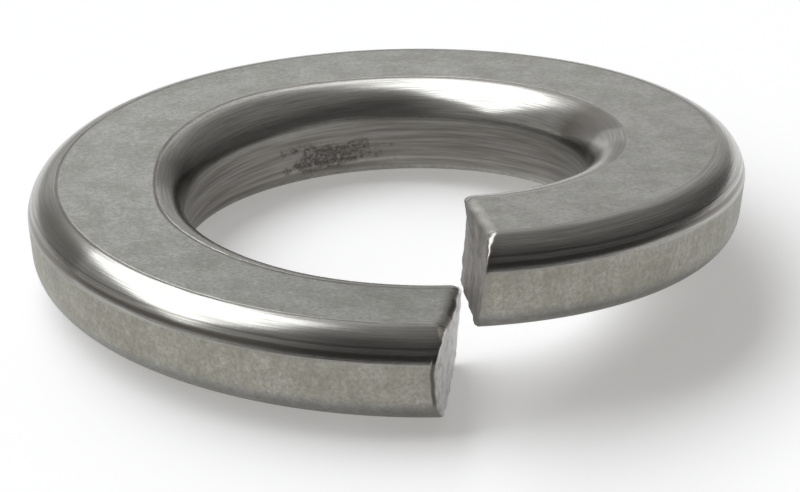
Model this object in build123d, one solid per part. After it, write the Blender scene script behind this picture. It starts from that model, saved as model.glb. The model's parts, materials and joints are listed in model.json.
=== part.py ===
from build123d import *
import math
import os

from scipy.optimize import linprog

# Spring lock washer: one turn of rolled wire, coiled left-handed, cut through at the gap and
# lying on the surface z = 0 as it comes to rest. The gap faces -Y. Seen from above and going
# clockwise from the gap, the coil climbs from its low end to its high end.
# Lengths are in millimetres, angles in degrees.

# Driving dimensions
BORE_DIAMETER = 8.1
OUTER_DIAMETER = 14.4
THICKNESS = 1.9
COIL_PITCH = 1.82  # climb of the coil in a whole turn, along its axis
TOP_OUTER_ROUNDING = 0.60
TOP_INNER_ROUNDING = 0.75
BOTTOM_OUTER_ROUNDING = 0.65
BOTTOM_INNER_ROUNDING = 0.35
GAP_WIDTH = 0.44  # round the coil, at the middle of the section
LOW_END_SKEW = 21.0  # how far each cut is turned from the radius, seen from above
HIGH_END_SKEW = 13.0
END_LEAN = 6.0  # how far both cuts lean from upright, towards the high end
BORE_SKIM = 0.01  # taken off the coiled wire's inner side when the bore is made true
REST_MESH_TOLERANCE = 0.004  # of the facets that the resting plane is found from

# Worked out from them
BORE_RADIUS = BORE_DIAMETER / 2
OUTER_RADIUS = OUTER_DIAMETER / 2
MEAN_RADIUS = (BORE_RADIUS + OUTER_RADIUS) / 2
WIRE_WIDTH = OUTER_RADIUS - BORE_RADIUS
GAP_AZIMUTH = -90.0
REACH = 2 * OUTER_DIAMETER  # larger than the washer, for the cutters


def wire_section():
    """The rolled wire's section, standing on the XZ plane, with its bottom on z = 0."""
    inner = BORE_RADIUS - BORE_SKIM
    roundings = {
        (OUTER_RADIUS, THICKNESS): TOP_OUTER_ROUNDING,
        (inner, THICKNESS): TOP_INNER_ROUNDING,
        (OUTER_RADIUS, 0): BOTTOM_OUTER_ROUNDING,
        (inner, 0): BOTTOM_INNER_ROUNDING,
    }
    blank = Pos(inner, 0) * Rectangle(OUTER_RADIUS - inner, THICKNESS, align=(Align.MIN, Align.MIN))
    for (x, y), radius in roundings.items():
        corner = blank.vertices().sort_by_distance((x, y, 0))[0]
        blank = fillet(corner, radius)
    return Plane.XZ * blank


def coil_span(start, stop):
    """The swept wire between two angles, both counted clockwise from the gap."""
    climb = COIL_PITCH * (stop - start) / 360
    path = Helix(COIL_PITCH, climb, MEAN_RADIUS, lefthand=True)
    span = sweep(wire_section(), path=path, is_frenet=True)
    return Pos(0, 0, COIL_PITCH * start / 360) * Rot(0, 0, GAP_AZIMUTH - start) * span


def beyond_cut(side, skew, height):
    """All that an end's cut takes off: side is -1 for the low end and 1 for the high one."""
    middle = Pos(side * GAP_WIDTH / 2, -MEAN_RADIUS, height + THICKNESS / 2)
    gap_side = Align.MAX if side > 0 else Align.MIN
    waste = Box(REACH, 2 * WIRE_WIDTH, REACH, align=(gap_side, Align.CENTER, Align.CENTER))
    return middle * Rot(0, 0, -skew) * Rot(0, END_LEAN, 0) * waste


def coil():
    """The cut coil about the Z axis. Its halves meet at the back, opposite the gap."""
    spare = math.degrees(WIRE_WIDTH / BORE_RADIUS) / 2
    low_half = coil_span(-spare, 180) - beyond_cut(-1, LOW_END_SKEW, 0)
    high_half = coil_span(180, 360 + spare) - beyond_cut(1, HIGH_END_SKEW, COIL_PITCH)
    bore = Cylinder(BORE_RADIUS, REACH)
    return (low_half + high_half - bore).solid()


def resting_plane(washer):
    """Height at the axis, X slope and Y slope of the plane under the washer that lets its
    centre of mass lie lowest, which is the plane it comes to rest on."""
    centre = washer.center(CenterOf.MASS)
    corners = washer.tessellate(REST_MESH_TOLERANCE)[0]
    rows = [[1, corner.X - centre.X, corner.Y - centre.Y] for corner in corners]
    heights = [corner.Z for corner in corners]
    found = linprog([-1, 0, 0], A_ub=rows, b_ub=heights, bounds=(None, None))
    under_centre, slope_x, slope_y = found.x
    return under_centre - slope_x * centre.X - slope_y * centre.Y, slope_x, slope_y


def at_rest(washer):
    """The washer with its resting plane on z = 0 and its axis through the origin there."""
    height, slope_x, slope_y = resting_plane(washer)
    surface = Plane(origin=(0, 0, height), x_dir=(1, 0, slope_x), z_dir=(-slope_x, -slope_y, 1))
    return surface.location.inverse() * washer


def main():
    washer = at_rest(coil())
    washer.label = "washer"
    os.makedirs("parts", exist_ok=True)
    export_step(washer, "parts/washer.step")


main()
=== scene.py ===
import json
import math
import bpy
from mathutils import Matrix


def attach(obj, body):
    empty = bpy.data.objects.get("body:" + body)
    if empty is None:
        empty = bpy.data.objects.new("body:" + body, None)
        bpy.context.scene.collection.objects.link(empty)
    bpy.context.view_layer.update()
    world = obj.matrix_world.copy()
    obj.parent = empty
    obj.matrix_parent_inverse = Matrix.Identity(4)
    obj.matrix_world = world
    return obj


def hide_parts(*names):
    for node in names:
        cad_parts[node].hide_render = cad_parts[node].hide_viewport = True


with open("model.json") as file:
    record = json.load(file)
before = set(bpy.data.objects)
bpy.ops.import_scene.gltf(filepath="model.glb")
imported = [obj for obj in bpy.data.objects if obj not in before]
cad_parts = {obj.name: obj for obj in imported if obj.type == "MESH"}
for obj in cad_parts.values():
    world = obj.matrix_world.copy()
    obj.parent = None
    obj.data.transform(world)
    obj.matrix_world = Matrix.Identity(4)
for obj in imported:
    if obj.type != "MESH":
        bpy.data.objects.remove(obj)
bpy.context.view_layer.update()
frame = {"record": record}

from types import SimpleNamespace

import bpy
import numpy as np
from mathutils import Quaternion, Vector

# Spring lock washer: one left-hand turn of rolled wire, cut through at the gap, at rest on z = 0.
# The coil is worked out in millimetres about its own axis, then laid in the row frame in metres.
# Angles are in degrees.
MM = 0.001

# The wire and its coil, as in the CAD model
BORE = next(mount for mount in frame["record"]["mounts"] if mount["name"] == "bore")
BORE_RADIUS = BORE["dims"]["r_mm"]
OUTER_RADIUS = 7.2
THICKNESS = 1.9
COIL_PITCH = 1.82
TOP_OUTER_ROUNDING = 0.60
TOP_INNER_ROUNDING = 0.75
BOTTOM_OUTER_ROUNDING = 0.65
BOTTOM_INNER_ROUNDING = 0.35
GAP_WIDTH = 0.44
LOW_END_SKEW = 21.0
HIGH_END_SKEW = 13.0
END_LEAN = 6.0
MEAN_RADIUS = (BORE_RADIUS + OUTER_RADIUS) / 2
OUTER_CREASE_RADIUS = OUTER_RADIUS - TOP_OUTER_ROUNDING
TOP_FLAT_WIDTH = OUTER_CREASE_RADIUS - BORE_RADIUS - TOP_INNER_ROUNDING

# How fine the visual mesh is
ROWS_ALONG = 580
END_ROWS = 12
CAP_RINGS = 10

# The outer rounding is a little taller than wide and ends in a tighter shoulder, and the side
# below that leans in
OUTER_ROUNDING_HEIGHT = 0.75
SHOULDER = 12.0
SHOULDER_ROUNDING = 0.30
SIDE_SLANT = 6.0

# Shear marks at the ends: how far the edges roll over, and how far back that reaches
ROLL_TOP = 0.12
ROLL_SIDE = 0.035
ROLL_REACH = 0.26
ROLL_REACH_SIDE = 0.08
# The shear twisted both cut faces: how far their corners stand out or back along the coil
HIGH_INNER_OUT = 0.12
HIGH_INNER_TOP_OUT = 0.19
LOW_TOP_BACK = 0.10
LOW_OUTER_BACK = 0.17
LOW_OUTER_REACH = 1.6    # from the middle of the section to where the outer corner is full back
LOW_OUTER_HEIGHT = 1.1
TORN_RELIEF = 0.012      # unevenness of the torn faces

# Unevenness of the roundings: a slow wander in their depth, and two stretches of the top inner
# rounding, as (coil angle, reach in degrees, how far its upper edge moves outwards)
WANDER_DEPTH = 0.012
WANDER_SEED = 3
WANDER_WAVES = (3, 5, 8)
UNEVEN_STRETCHES = ((160.0, 24.0, 0.22), (105.0, 22.0, -0.17))

# What each vertex tells the material, in the order of the columns that coil_mesh() writes
MARKS = ("along", "around", "rounded", "from_end", "outward", "upward", "from_crease")

# Places of marks on the wire, in millimetres: where each begins, is full, starts to fade, and ends.
# They count along the wire from the low end, unless the name says AROUND, from the outer crease
# down, FROM_CREASE, from the nearer crease, or FROM_END, from the nearer cut.
# Darker patches on the inner rounding, at the left and at the right
LEFT_DARK_PATCH = (9.2, 10.3, 11.2, 12.6)
RIGHT_DARK_PATCH = (28.2, 28.9, 29.9, 30.6)
# Painted shade where the inner rounding runs deeper, at the right
DEEP_ROUNDING_SHADE = (24.7, 25.5, 27.2, 27.6)
# Where the outer rounding's highlight starts: partly a scuff, partly painted shade that cuts the highlight
# short
HIGHLIGHT_CUT_STRETCH = (6.9, 7.3, 8.6, 9.6)
SCUFF_AND_SHADE = (6.9, 7.6, 8.6, 10.4)
PITS_ALONG = (16.2, 16.8, 18.2, 19.4)
PITS_FROM_CREASE = (1.38, 1.5, 1.9, 2.1)
# A dark band painted low on the outer rounding, as a reflection of the dark room
DARK_REFLECTION_AROUND = (0.69, 0.75, 0.79, 0.87)
THIN_LINE_AROUND = (0.57, 0.59, 0.61, 0.635)
GROOVE_FROM_END = (0.03, 0.06, 0.10, 0.13)
CHIP_FROM_END = (-0.05, 0.0, 0.06, 0.13)

# Colours of the steel, and light and shade painted on it
FLAT_DARK, FLAT_LIGHT = (0.315, 0.315, 0.292, 1), (0.42, 0.42, 0.406, 1)
FLAT_GRAIN, FLAT_SPECK = (0.225, 0.222, 0.20, 1), (0.47, 0.47, 0.45, 1)
# Painted light and shade: the coil's high half lighter, its low half a little darker
LOW_HALF_PAINTED_SHADE, HIGH_HALF_PAINTED_LIGHT = (0.95, 0.95, 0.95, 1), (1.14, 1.13, 1.13, 1)
SIDE_TINT, SIDE_STREAK = (0.99, 0.965, 0.89, 1), (0.20, 0.19, 0.165, 1)
# Painted shade under the washer's outer edge
UNDERSIDE_PAINTED_SHADE = (0.16, 0.155, 0.14, 1)
WALL_DARK, WALL_LIGHT = (0.175, 0.163, 0.148, 1), (0.30, 0.288, 0.268, 1)
PIT = (0.055, 0.047, 0.04, 1)
ROUNDING_DARK, ROUNDING_LIGHT = (0.30, 0.292, 0.27, 1), (0.455, 0.45, 0.43, 1)
# The first of these is painted dark reflection and shade, the second a thin line on the rounding
PAINTED_DARK, THIN_LINE = (0.115, 0.10, 0.088, 1), (0.15, 0.135, 0.12, 1)
# Scuff with painted shade, darker patches, and painted shade that cuts the outer highlight short
SCUFFED_AND_SHADED, DARK_PATCH_TONE, HIGHLIGHT_CUT_SHADE = (0.12, 0.115, 0.10, 1), (0.10, 0.095, 0.085, 1), (0.16, 0.15, 0.135, 1)
CREASE = (0.13, 0.115, 0.105, 1)
# Brownish, and painted darker to shade the light that the rolled-over edges catch
TIP_BROWN_AND_SHADE = (0.24, 0.215, 0.195, 1)
# The torn faces' steel, painted lighter at the low end and darker and browner at the high end: painted
# light and shade
TORN_LOW_PAINTED_LIGHT, TORN_HIGH_PAINTED_SHADE = (0.68, 0.672, 0.672, 1), (0.31, 0.292, 0.275, 1)
TORN_SPECK = (0.22, 0.21, 0.20, 1)
GROOVE, CHIP = (0.07, 0.062, 0.052, 1), (0.05, 0.045, 0.04, 1)

# Camera: it looks down at the washer from in front, a little to the left of the gap
CAMERA_AIM = Vector((0.2267, -0.3154, 0.7215)) * MM
CAMERA_DISTANCE = 81.35 * MM
CAMERA_HEADING = 74.25
CAMERA_DIP = 26.63
CAMERA_ROLL = 0.43
CAMERA_LENS = 181.4
CAMERA_NEAR, CAMERA_FAR = 1 * MM, 10.0

# Studio, in metres: one large upright soft box behind on the left, and a pale floor
BOX_HEADING = 137.5
BOX_DISTANCE = 0.30
BOX_SIZE = (0.95, 1.10)
BOX_FOOT = 0.235
BOX_ROLL = 8.0
BOX_POWER = 9.5
BOX_COLOUR = (0.965, 0.985, 1.0)
FLOOR_HALF = 0.35
FLOOR_COLOUR = (0.85, 0.85, 0.86, 1)
FLOOR_GLOW_COLOUR = (1.0, 0.985, 0.96, 1)
FLOOR_GLOW = 0.29
# The dim room, and its paler parts: (azimuth, elevation), the cosines from its middle where each
# begins and is full, and its strength there
ROOM_COLOUR = (1.0, 0.99, 0.97, 1)
ROOM_LEVEL = 0.11
ROOM_GLOWS = (((88, 2), 0.60, 0.98, 0.43), ((60, 62), 0.45, 1.0, 0.17), ((172, 18), 0.42, 0.98, 0.30))


def direction(azimuth, elevation):
    """The unit vector towards an azimuth, counted from +X towards +Y, and an elevation."""
    a, e = math.radians(azimuth), math.radians(elevation)
    return Vector((math.cos(e) * math.cos(a), math.cos(e) * math.sin(a), math.sin(e)))


# ---------------------------------------------------------------- the wire's section


def arc(centre, across, up, first, last, steps):
    """Points of an elliptical corner between two tilts of its outward normal, in degrees."""
    rows = []
    for step in range(steps + 1):
        tilt = math.radians(first + (last - first) * step / steps)
        turn = math.atan2(up * math.sin(tilt), across * math.cos(tilt))
        point = (centre[0] + across * math.cos(turn), centre[1] + up * math.sin(turn))
        rows.append((*point, math.cos(tilt), math.sin(tilt), 1.0))
    return rows


def flat(start, stop, steps):
    """Points of a flat between two corners, without its ends."""
    rows = []
    for step in range(1, steps + 1):
        share = step / (steps + 1)
        point = [p + (q - p) * share for p, q in zip(start[:2], stop[:2])]
        rows.append((*point, stop[2], stop[3], 0.0))
    return rows


def section_outline():
    """Points round the section, clockwise from where the top flat meets the outer rounding.

    Columns: radius, height, outward normal (radial, upward), share of rounding, length so far,
    and distance from the nearer of the two creases where the top flat ends."""
    shoulder, slant = math.radians(SHOULDER), math.radians(SIDE_SLANT)
    wide, tall = TOP_OUTER_ROUNDING, OUTER_ROUNDING_HEIGHT
    turn = math.atan2(tall * math.sin(shoulder), wide * math.cos(shoulder))
    widest = OUTER_RADIUS - SHOULDER_ROUNDING * (1 - math.cos(shoulder))
    centre = (widest - wide * math.cos(turn), THICKNESS - tall)
    outer_top = arc(centre, wide, tall, 90, SHOULDER, steps=26)
    edge = outer_top[-1]
    small = SHOULDER_ROUNDING
    centre = (edge[0] - small * math.cos(shoulder), edge[1] - small * math.sin(shoulder))
    outer_shoulder = arc(centre, small, small, SHOULDER, -SIDE_SLANT, steps=4)[1:]
    edge = outer_shoulder[-1]
    big = BOTTOM_OUTER_ROUNDING
    below = edge[1] - big * (1 - math.sin(slant))
    centre = (edge[0] - below * math.tan(slant) - big * math.cos(slant), big)
    outer_bottom = arc(centre, big, big, -SIDE_SLANT, -90, steps=16)
    small = BOTTOM_INNER_ROUNDING
    inner_bottom = arc((BORE_RADIUS + small, small), small, small, -90, -180, steps=10)
    big = TOP_INNER_ROUNDING
    inner_top = arc((BORE_RADIUS + big, THICKNESS - big), big, big, 180, 90, steps=26)
    rows = outer_top + outer_shoulder + flat(edge, outer_bottom[0], steps=9) + outer_bottom
    rows += flat(outer_bottom[-1], inner_bottom[0], steps=15) + inner_bottom
    rows += flat(inner_bottom[-1], inner_top[0], steps=10) + inner_top
    inner_crease = len(rows) - 1
    rows += flat(inner_top[-1], outer_top[0], steps=20)
    outline = np.array(rows)
    spans = np.hypot(*(np.roll(outline[:, :2], -1, axis=0) - outline[:, :2]).T)
    lengths = np.concatenate([[0.0], np.cumsum(spans)[:-1]])
    from_inner = np.abs(lengths - lengths[inner_crease])
    from_crease = np.minimum(np.minimum(lengths, spans.sum() - lengths), from_inner)
    return np.column_stack([outline, lengths, from_crease])


def coil_points(radius, height, angle):
    """Points of the coil, angle degrees clockwise from the gap: it climbs as it goes round."""
    azimuth = np.radians(-90.0 - angle)
    climbed = COIL_PITCH * angle / 360 + height
    return np.stack([radius * np.cos(azimuth), radius * np.sin(azimuth), climbed], axis=-1)


def cut_angles(radius, height, side, skew):
    """The coil angle at which each point of the section meets an end's slanting cut.

    side is -1 at the low end and 1 at the high one. Newton's method finds the angle."""
    base = 0.0 if side < 0 else 360.0
    s, lean = math.radians(skew), math.radians(END_LEAN)
    normal = np.array([math.cos(s) * math.cos(lean), -math.sin(s) * math.cos(lean), -math.sin(lean)])
    middle = np.array([side * GAP_WIDTH / 2, -MEAN_RADIUS, COIL_PITCH * base / 360 + THICKNESS / 2])
    angle = np.full(len(radius), base)
    rounds, step = 8, 0.01
    for _ in range(rounds):
        here = (coil_points(radius, height, angle) - middle) @ normal
        ahead = (coil_points(radius, height, angle + step) - middle) @ normal
        angle = angle - here * step / (ahead - here)
    return angle


# ---------------------------------------------------------------- unevenness of the real wire


def ripple(angle, seed, waves):
    """A smooth wander between about -1 and 1 round the coil, always the same for a seed."""
    draw = np.random.default_rng(seed)
    total = np.zeros_like(angle)
    for wave in waves:
        size = draw.uniform(0.5, 1.0)
        phase = draw.uniform(0, 2 * math.pi)
        total = total + size * np.sin(np.radians(angle) * wave + phase)
    return total / len(waves)


def end_inset(distance, normal_up):
    """How far the section is drawn in near a cut, where shearing has rolled its edges over."""
    topness = np.clip(normal_up, 0, 1) ** 4
    reach = ROLL_REACH_SIDE + (ROLL_REACH - ROLL_REACH_SIDE) * topness
    depth = ROLL_SIDE + (ROLL_TOP - ROLL_SIDE) * topness
    near = np.clip(1 - distance / reach, 0, 1)
    return depth * (1 - np.sqrt(1 - near ** 2))


def torn(radius, height):
    """The unevenness of a torn face, in millimetres: long tears across it and finer ones on them."""
    long_tears = np.sin(9.0 * radius + 2.3 * np.sin(3.1 * height))
    short_tears = 0.6 * np.sin(17.0 * height + 2.0 * radius)
    fine_tears = 0.5 * np.sin(31.0 * radius - 11.0 * height)
    return TORN_RELIEF * (long_tears + short_tears + fine_tears)


def low_face(radius, height):
    """The coil angle of the low end's face: a leaning cut, with its outer top standing back."""
    outward = np.clip((radius - MEAN_RADIUS) / LOW_OUTER_REACH, 0, 1) ** 2
    climb = np.clip(height / LOW_OUTER_HEIGHT, 0, 1)
    back = LOW_TOP_BACK * height / THICKNESS + LOW_OUTER_BACK * outward * np.sin(climb * math.pi / 2)
    back = back + torn(radius, height)
    return cut_angles(radius, height, -1, LOW_END_SKEW) + np.degrees(back / radius)


def high_face(radius, height):
    """The coil angle of the high end's face: a leaning cut, with its inner top standing out."""
    inward = np.clip((OUTER_CREASE_RADIUS - radius) / TOP_FLAT_WIDTH, 0, 1)
    out = inward * (HIGH_INNER_OUT + HIGH_INNER_TOP_OUT * (height / THICKNESS) ** 3)
    out = out + torn(radius, height)
    return cut_angles(radius, height, 1, HIGH_END_SKEW) + np.degrees(out / radius)


def crease_shift(radius, height, angle):
    """How far the top inner rounding's upper edge moves outwards, fading out to the bore's wall
    on one side and the outer rounding on the other."""
    shift = sum(size * np.exp(-((angle - at) / reach) ** 2) for at, reach, size in UNEVEN_STRETCHES)
    over_rounding = (radius - BORE_RADIUS) / TOP_INNER_ROUNDING
    over_flat = (OUTER_CREASE_RADIUS - radius) / TOP_FLAT_WIDTH
    share = np.clip(np.minimum(over_rounding, over_flat), 0, 1) * (height > THICKNESS / 2)
    return shift * share


# ---------------------------------------------------------------- the washer's mesh


def row_angles(radius, low, high):
    """The coil angles of each row of the mesh. Rows stand closer together where the edges roll over."""
    mm_per_degree = math.radians(1) * radius
    near = ROLL_REACH * (1 - np.cos(np.linspace(0, math.pi / 2, END_ROWS + 1)))[:-1]
    near_degrees = near[:, None] / mm_per_degree[None]
    first, last = low + ROLL_REACH / mm_per_degree, high - ROLL_REACH / mm_per_degree
    rows = [low + degrees for degrees in near_degrees]
    rows += [first * (1 - share) + last * share for share in np.linspace(0, 1, ROWS_ALONG)]
    return rows + [high - degrees for degrees in near_degrees[::-1]]


def coil_mesh():
    """Vertices, faces and per-vertex marks of the washer, in the coil's own millimetres."""
    outline = section_outline()
    radius, height, out, up, rounded, length, crease = outline.T
    count = len(outline)
    mm_per_degree = math.radians(1) * radius
    low, high = low_face(radius, height), high_face(radius, height)
    rows = row_angles(radius, low, high)
    points, marks = [], []
    for angle in rows:
        distance = np.minimum(angle - low, high - angle) * mm_per_degree
        wander = ripple(angle, WANDER_SEED, WANDER_WAVES) * np.clip(up, 0, 1) * rounded
        inset = end_inset(distance, up) + WANDER_DEPTH * wander
        r = radius - out * inset + crease_shift(radius, height, angle)
        points.append(coil_points(r, height - up * inset, angle))
        along = np.radians(angle) * MEAN_RADIUS
        marks.append(np.column_stack([along, length, rounded, distance, out, up, crease]))
    last_row = (len(rows) - 1) * count
    faces = []
    for row in range(0, last_row, count):
        for col in range(count):
            a = row + col
            b = row + (col + 1) % count
            faces.append((a, a + count, b + count, b))
    inset = end_inset(np.zeros(count), up)
    rim = np.column_stack([radius - out * inset, height - up * inset])
    return cap_ends(np.concatenate(points), np.concatenate(marks), faces, rim, (0, last_row))


def cap_ends(verts, marks, faces, rim, starts):
    """Closes both ends with rings that shrink to the middle of each torn face."""
    count = len(rim)
    middle = np.array([[MEAN_RADIUS, THICKNESS / 2]])
    for start, face_angle, high_end in zip(starts, (low_face, high_face), (False, True)):
        ring_start = start
        rim_marks = marks[start:start + count]
        rim_shift = verts[start:start + count] - coil_points(*rim.T, face_angle(*rim.T))
        for ring in range(1, CAP_RINGS + 1):
            share = 1 - ring / CAP_RINGS
            section = middle + (rim - middle) * share if share else middle
            shift = rim_shift * share ** 2 if share else 0.0
            ring_points = coil_points(*section.T, face_angle(*section.T)) + shift
            ring_marks = rim_marks[:len(ring_points)].copy()
            ring_marks[:, MARKS.index("rounded")] = 0.0
            ring_marks[:, MARKS.index("from_end")] = -ring
            ring_marks[:, MARKS.index("from_crease")] = 1.0
            new_start = len(verts)
            verts = np.concatenate([verts, ring_points])
            marks = np.concatenate([marks, ring_marks])
            for col in range(count):
                after = (col + 1) % count
                face = (ring_start + col, new_start, ring_start + after)
                if share:
                    face = (ring_start + col, new_start + col, new_start + after, ring_start + after)
                faces.append(face if high_end else face[::-1])
            ring_start = new_start
    return verts, marks, faces


def lay_down(points):
    """The coil's points in the row frame: leaning as the bore's axis does, lowest point on z = 0."""
    axis = Vector(BORE["axis"]).normalized()
    slope_x = axis.x / math.sqrt(1 - axis.x ** 2)
    slope_y = axis.y / axis.z * math.hypot(1, slope_x)
    side = Vector((1, 0, slope_x)).normalized()
    up = Vector((-slope_x, -slope_y, 1)).normalized()
    turn = np.array([side, up.cross(side), up])
    laid = points @ turn.T
    laid -= np.array(axis) * laid[:, 2].min() / axis.z
    return laid * MM


def build_washer():
    """The washer as one closed mesh, with marks on its vertices for the material to read."""
    points, marks, faces = coil_mesh()
    mesh = bpy.data.meshes.new("washer_steel")
    mesh.from_pydata(lay_down(points).tolist(), [], faces)
    mesh.shade_smooth()
    for name, column in zip(MARKS, marks.T):
        layer = mesh.attributes.new(name, "FLOAT", "POINT")
        layer.data.foreach_set("value", np.ascontiguousarray(column, dtype=np.float32))
    mesh.update()
    washer = bpy.data.objects.new("washer_steel", mesh)
    bpy.context.scene.collection.objects.link(washer)
    return washer


# ---------------------------------------------------------------- material


class Nodes:
    """Short forms for adding shader nodes to one material or world."""

    def __init__(self, tree):
        self.tree = tree
        tree.nodes.clear()

    def put(self, node, name, value):
        """Links a socket to a node's input, or sets that input to a plain value."""
        if isinstance(value, bpy.types.NodeSocket):
            self.tree.links.new(value, node.inputs[name])
        else:
            node.inputs[name].default_value = value

    def add(self, kind, inputs=(), **settings):
        node = self.tree.nodes.new(kind)
        for key, value in settings.items():
            setattr(node, key, value)
        for key, value in dict(inputs).items():
            self.put(node, key, value)
        return node

    def mark(self, name):
        return self.add("ShaderNodeAttribute", attribute_name=name).outputs["Fac"]

    def math(self, operation, a, b=0.0, c=0.0):
        return self.add("ShaderNodeMath", {0: a, 1: b, 2: c}, operation=operation).outputs[0]

    def times(self, first, *others):
        """The product of two or more values."""
        for other in others:
            first = self.math("MULTIPLY", first, other)
        return first

    def plus(self, first, *others):
        """The sum of two or more values."""
        for other in others:
            first = self.math("ADD", first, other)
        return first

    def ramp(self, value, low, high, out_low=0.0, out_high=1.0):
        """value from low..high to out_low..out_high, held at both ends, with a soft start and stop."""
        inputs = {"Value": value, "From Min": low, "From Max": high, "To Min": out_low, "To Max": out_high}
        return self.add("ShaderNodeMapRange", inputs, interpolation_type="SMOOTHSTEP").outputs["Result"]

    def band(self, value, begins, full, fades, ends):
        """1 from full to fades, and 0 before begins and after ends."""
        return self.times(self.ramp(value, begins, full), self.ramp(value, ends, fades))

    def noise(self, vector, scale, detail, roughness):
        inputs = {"Vector": vector, "Scale": scale, "Detail": detail, "Roughness": roughness}
        return self.add("ShaderNodeTexNoise", inputs).outputs["Fac"]

    def combine(self, x, y, z=0.0):
        return self.add("ShaderNodeCombineXYZ", {0: x, 1: y, 2: z}).outputs[0]

    def mix(self, factor, a, b, blend="MIX"):
        """Colour a with colour b over it by factor. The numbers are the node's colour inputs."""
        node = self.add("ShaderNodeMix", data_type="RGBA", blend_type=blend)
        for index, value in ((0, factor), (6, a), (7, b)):
            self.put(node, index, value)
        return node.outputs[2]


def wire_places(n):
    """Where things are on the wire: the vertices' marks, and masks from 0 to 1 made of them."""
    w = SimpleNamespace(**{name: n.mark(name) for name in MARKS})
    w.bright = n.times(n.ramp(w.rounded, 0.25, 0.95), n.ramp(w.upward, -0.1, 0.25))
    w.bright_outer = n.times(n.ramp(w.outward, -0.05, 0.05), w.bright)
    w.bright_inner = n.times(n.ramp(w.outward, 0.1, -0.1), w.bright)
    w.wall = n.ramp(w.outward, -0.75, -0.98)
    w.outer_side = n.ramp(w.outward, 0.9, 0.99)
    w.underside = n.times(n.ramp(w.upward, -0.2, -0.6), n.ramp(w.outward, 0.05, 0.2))
    w.torn_face = n.ramp(w.from_end, 0.05, -0.02)
    w.at_high = n.ramp(w.along, 17.0, 18.0)
    w.at_low = n.math("SUBTRACT", 1.0, w.at_high)
    return w


def wire_textures(n, w):
    """Noise: even grain, with scales per metre, and lines drawn along the wire, per millimetre."""
    place = n.add("ShaderNodeTexCoord").outputs["Object"]
    w.grain = n.noise(place, scale=13000.0, detail=4.0, roughness=0.75)
    w.speckle = n.noise(place, scale=5200.0, detail=3.0, roughness=0.6)
    w.cloud = n.noise(place, scale=1300.0, detail=4.0, roughness=0.6)
    fine = n.combine(n.times(w.along, 0.8), n.times(w.around, 30.0))
    w.drawn = n.noise(fine, scale=1.0, detail=3.0, roughness=0.7)
    coarse = n.combine(n.times(w.along, 0.35), n.times(w.around, 11.0), 3.0)
    w.scores = n.noise(coarse, scale=1.0, detail=3.0, roughness=0.6)
    across = n.combine(n.times(w.along, 9.0), n.times(w.around, 1.2), 7.0)
    w.chatter = n.noise(across, scale=1.0, detail=3.0, roughness=0.6)
    slow = n.noise(n.combine(n.times(w.along, 1.6), 0.0, 5.0), scale=1.0, detail=3.0, roughness=0.6)
    w.wander = n.math("MULTIPLY_ADD", slow, 0.09, -0.045)
    w.uneven_cloud = n.math("SUBTRACT", w.cloud, 0.5)
    w.uneven_speckle = n.math("SUBTRACT", w.speckle, 0.5)


def wire_damage(n, w):
    """Masks of what is also cut into the surface: pits, the creases, a groove by the low end."""
    ragged_along = n.plus(w.along, n.times(w.uneven_speckle, 3.0))
    ragged_across = n.plus(w.from_crease, n.times(w.uneven_cloud, 0.8))
    patch = n.times(n.band(ragged_along, *PITS_ALONG), n.band(ragged_across, *PITS_FROM_CREASE))
    w.pits = n.times(patch, n.ramp(w.outward, 0.1, -0.1), n.ramp(w.grain, 0.40, 0.62))
    off_crease = n.math("ABSOLUTE", n.plus(w.from_crease, n.times(w.wander, 0.7)))
    crease = n.times(n.ramp(off_crease, 0.045, 0.01), n.ramp(w.upward, 0.7, 0.9))
    w.crease = n.times(crease, n.ramp(w.cloud, 0.25, 0.6, 0.25, 1.0), n.ramp(w.along, 25.0, 27.0, 1.0, 0.2))
    w.groove = n.times(n.band(w.from_end, *GROOVE_FROM_END), w.outer_side, w.at_low)


def flat_colour(n, w):
    """The dull flats and side, mottled and speckled, with upright streaks on the side; away from the side,
    painted light makes the high end of the coil lighter and painted shade the low end darker, and the
    underside gets painted shade.
    """
    base = n.mix(n.ramp(w.cloud, 0.3, 0.7), FLAT_DARK, FLAT_LIGHT)
    base = n.mix(n.ramp(w.grain, 0.32, 0.72, 0.0, 0.75), base, FLAT_GRAIN)
    base = n.mix(n.ramp(w.speckle, 0.5, 0.75, 0.0, 0.35), base, FLAT_SPECK)
    # Painted light and shade: lighter towards the high end, darker towards the low end
    tint = n.mix(n.ramp(w.along, 12.0, 26.0), LOW_HALF_PAINTED_SHADE, HIGH_HALF_PAINTED_LIGHT)
    base = n.mix(n.math("SUBTRACT", 1.0, w.outer_side), base, tint, "MULTIPLY")
    base = n.mix(w.outer_side, base, SIDE_TINT, "MULTIPLY")
    base = n.mix(n.times(w.outer_side, n.ramp(w.chatter, 0.5, 0.75, 0.0, 0.28)), base, SIDE_STREAK)
    # Painted shade on the underside
    return n.mix(n.times(w.underside, 0.5), base, UNDERSIDE_PAINTED_SHADE)


def wall_colour(n, w, base):
    """The inner wall, scored along the wire, with one pitted patch at the back."""
    base = n.mix(w.wall, base, n.mix(n.ramp(w.scores, 0.28, 0.72), WALL_DARK, WALL_LIGHT))
    return n.mix(n.times(w.pits, 0.6), base, PIT)


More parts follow.
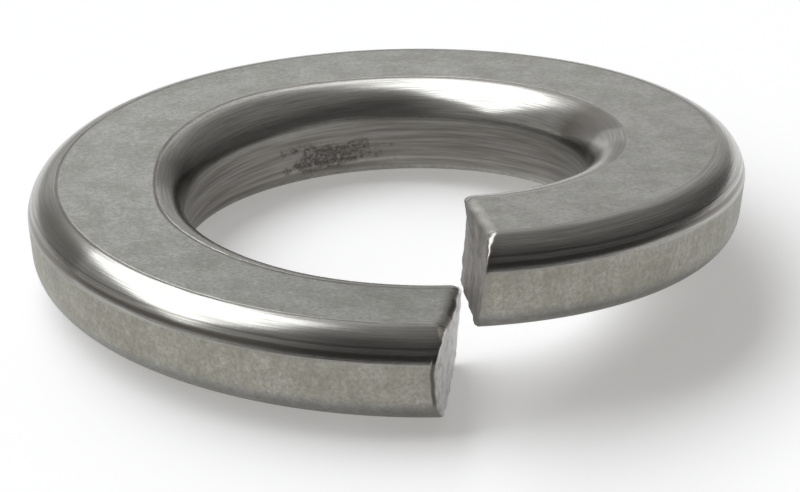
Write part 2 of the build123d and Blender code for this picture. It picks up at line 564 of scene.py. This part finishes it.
def rounding_colour(n, w, base):
    """The bright roundings: fine lines along them, a thin darker one low on the outside with a band of
    painted dark reflection below it, darker patches on the inner one, painted shade where the inner one
    runs deeper, and a scuff and painted shade that cut the outer highlight short.
    """
    base = n.mix(w.bright, base, n.mix(n.ramp(w.drawn, 0.3, 0.66), ROUNDING_DARK, ROUNDING_LIGHT))
    line_place = n.plus(w.around, n.times(w.wander, 0.5))
    # Painted dark reflection band low on the outer rounding
    base = n.mix(n.times(n.band(line_place, *DARK_REFLECTION_AROUND), 0.8), base, PAINTED_DARK)
    base = n.mix(n.times(n.band(line_place, *THIN_LINE_AROUND), 0.55), base, THIN_LINE)
    # Scuff and painted shade at the start of the outer highlight
    scuff_and_shade = n.times(n.band(w.along, *SCUFF_AND_SHADE), n.ramp(w.from_crease, 0.75, 0.3), w.bright_outer)
    base = n.mix(n.times(scuff_and_shade, 0.6), base, SCUFFED_AND_SHADED)
    # Darker patches on the inner rounding
    dark_patches = n.plus(n.band(w.along, *LEFT_DARK_PATCH), n.band(w.along, *RIGHT_DARK_PATCH))
    base = n.mix(n.times(dark_patches, w.bright_inner, 0.6), base, DARK_PATCH_TONE)
    ragged_along = n.plus(w.along, n.times(w.uneven_cloud, 0.8))
    # Painted shade where the inner rounding runs deeper
    base = n.mix(n.times(n.band(ragged_along, *DEEP_ROUNDING_SHADE), w.bright_inner, 0.65), base, PAINTED_DARK)
    # Painted shade that cuts the outer highlight short
    highlight_cut = n.times(n.band(ragged_along, *HIGHLIGHT_CUT_STRETCH), w.bright_outer)
    return n.mix(n.times(highlight_cut, 0.5), base, HIGHLIGHT_CUT_SHADE)


def end_colour(n, w, base):
    """The ends: browned and painted darker where they rolled over, torn faces painted lighter at the low
    end and darker at the high one, a groove and a chip at the low one.
    """
    # Browned, and painted darker where the rolled-over edges catch light
    base = n.mix(n.times(n.ramp(w.from_end, 0.30, 0.02), 0.4), base, TIP_BROWN_AND_SHADE)
    # Painted light on the low torn face, painted shade on the high one
    torn_tone = n.mix(w.at_high, TORN_LOW_PAINTED_LIGHT, TORN_HIGH_PAINTED_SHADE)
    torn_tone = n.mix(n.ramp(w.speckle, 0.45, 0.65, 0.0, 0.4), torn_tone, TORN_SPECK)
    base = n.mix(w.torn_face, base, torn_tone)
    base = n.mix(n.times(w.groove, 0.8), base, GROOVE)
    chip = n.times(n.band(w.from_end, *CHIP_FROM_END), n.ramp(w.from_crease, 0.40, 0.55))
    chip = n.times(chip, w.at_low, n.ramp(w.upward, 0.90, 0.96))
    return n.mix(n.times(chip, 0.75), base, CHIP)


def wire_relief(n, w):
    """The normal, from grain on the dull parts, drawn lines, and what is cut into the surface."""
    dull = n.math("SUBTRACT", 1.0, w.bright)
    height = n.times(dull, n.plus(w.grain, n.times(w.speckle, 0.6)))
    height = n.plus(height, n.times(w.drawn, 0.4), n.times(w.outer_side, w.chatter, 0.8))
    cuts = n.plus(n.times(w.crease, 1.2), n.times(w.groove, 1.5), n.times(w.pits, 2.0))
    height = n.math("SUBTRACT", height, cuts)
    relief = {"Strength": 0.6, "Distance": 0.0075 * MM, "Height": height}
    return n.add("ShaderNodeBump", relief).outputs[0]


def steel_material():
    """Rolled steel wire: dull grained flats and sides, bright drawn roundings, torn ends, with some light
    and shade painted into its colour.
    """
    material = bpy.data.materials.new("spring_steel")
    material.use_nodes = True
    n = Nodes(material.node_tree)
    w = wire_places(n)
    wire_textures(n, w)
    wire_damage(n, w)
    base = rounding_colour(n, w, wall_colour(n, w, flat_colour(n, w)))
    base = n.mix(n.times(w.crease, 0.65), base, CREASE)
    base = end_colour(n, w, base)
    rough = n.math("MULTIPLY_ADD", w.bright, -0.24, 0.45)
    rough = n.plus(rough, n.ramp(w.drawn, 0.2, 0.8, 0.03, -0.03), n.times(w.torn_face, 0.08))
    inputs = {"Base Color": base, "Roughness": rough, "Metallic": 1.0, "Normal": wire_relief(n, w)}
    shader = n.add("ShaderNodeBsdfPrincipled", inputs)
    n.add("ShaderNodeOutputMaterial", {"Surface": shader.outputs[0]})
    return material


# ---------------------------------------------------------------- studio


def build_floor():
    """A pale floor. Seen by the camera it is white with the washer's soft shadow on it."""
    mesh = bpy.data.meshes.new("floor")
    side = FLOOR_HALF
    corners = [(-side, -side, 0), (side, -side, 0), (side, side, 0), (-side, side, 0)]
    mesh.from_pydata(corners, [], [(0, 1, 2, 3)])
    floor = bpy.data.objects.new("floor", mesh)
    bpy.context.scene.collection.objects.link(floor)
    material = bpy.data.materials.new("floor_paper")
    material.use_nodes = True
    n = Nodes(material.node_tree)
    diffuse = n.add("ShaderNodeBsdfDiffuse", {"Color": FLOOR_COLOUR})
    glow = n.add("ShaderNodeEmission", {"Color": FLOOR_GLOW_COLOUR, "Strength": FLOOR_GLOW})
    lit = n.add("ShaderNodeAddShader", {0: diffuse.outputs[0], 1: glow.outputs[0]})
    ray = n.add("ShaderNodeLightPath")
    seen = n.math("MAXIMUM", ray.outputs["Is Camera Ray"], ray.outputs["Is Transmission Ray"])
    seen = n.math("MAXIMUM", seen, ray.outputs["Is Glossy Ray"])
    mixed = n.add("ShaderNodeMixShader", {0: seen, 1: diffuse.outputs[0], 2: lit.outputs[0]})
    n.add("ShaderNodeOutputMaterial", {"Surface": mixed.outputs[0]})
    mesh.materials.append(material)


def build_world():
    """A dim room, paler behind the washer, above it and on the left."""
    world = bpy.data.worlds.new("studio")
    bpy.context.scene.world = world
    world.use_nodes = True
    n = Nodes(world.node_tree)
    where = n.add("ShaderNodeTexCoord").outputs["Generated"]
    level = ROOM_LEVEL
    for towards, begins, full, strength in ROOM_GLOWS:
        vectors = {0: where, 1: tuple(direction(*towards))}
        cosine = n.add("ShaderNodeVectorMath", vectors, operation="DOT_PRODUCT").outputs["Value"]
        level = n.plus(level, n.ramp(cosine, begins, full, 0.0, strength))
    room = n.add("ShaderNodeBackground", {"Color": ROOM_COLOUR, "Strength": level})
    n.add("ShaderNodeOutputWorld", {"Surface": room.outputs[0]})


def build_light():
    """The soft box."""
    data = bpy.data.lights.new("soft_box", "AREA")
    data.shape = "RECTANGLE"
    data.size, data.size_y = BOX_SIZE
    data.energy = BOX_POWER
    data.color = BOX_COLOUR
    lamp = bpy.data.objects.new("soft_box", data)
    away = direction(BOX_HEADING, 0)
    lamp.location = away * BOX_DISTANCE + Vector((0, 0, BOX_FOOT + data.size_y / 2))
    roll = Quaternion(away, math.radians(-BOX_ROLL))
    lamp.rotation_euler = (roll @ (-away).to_track_quat("-Z", "Y")).to_euler()
    bpy.context.scene.collection.objects.link(lamp)


def build_camera():
    """The camera, level but for a slight roll."""
    forward = direction(CAMERA_HEADING, -CAMERA_DIP)
    data = bpy.data.cameras.new("camera")
    data.lens = CAMERA_LENS
    data.clip_start = CAMERA_NEAR
    data.clip_end = CAMERA_FAR
    camera = bpy.data.objects.new("camera", data)
    camera.location = CAMERA_AIM - forward * CAMERA_DISTANCE
    roll = Quaternion(forward, math.radians(CAMERA_ROLL))
    camera.rotation_euler = (roll @ forward.to_track_quat("-Z", "Y")).to_euler()
    bpy.context.scene.collection.objects.link(camera)
    bpy.context.scene.camera = camera


def main():
    bpy.context.scene.view_settings.view_transform = "Standard"
    washer = build_washer()
    washer.data.materials.append(steel_material())
    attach(washer, "root")
    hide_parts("washer")
    build_floor()
    build_world()
    build_light()
    build_camera()


main()
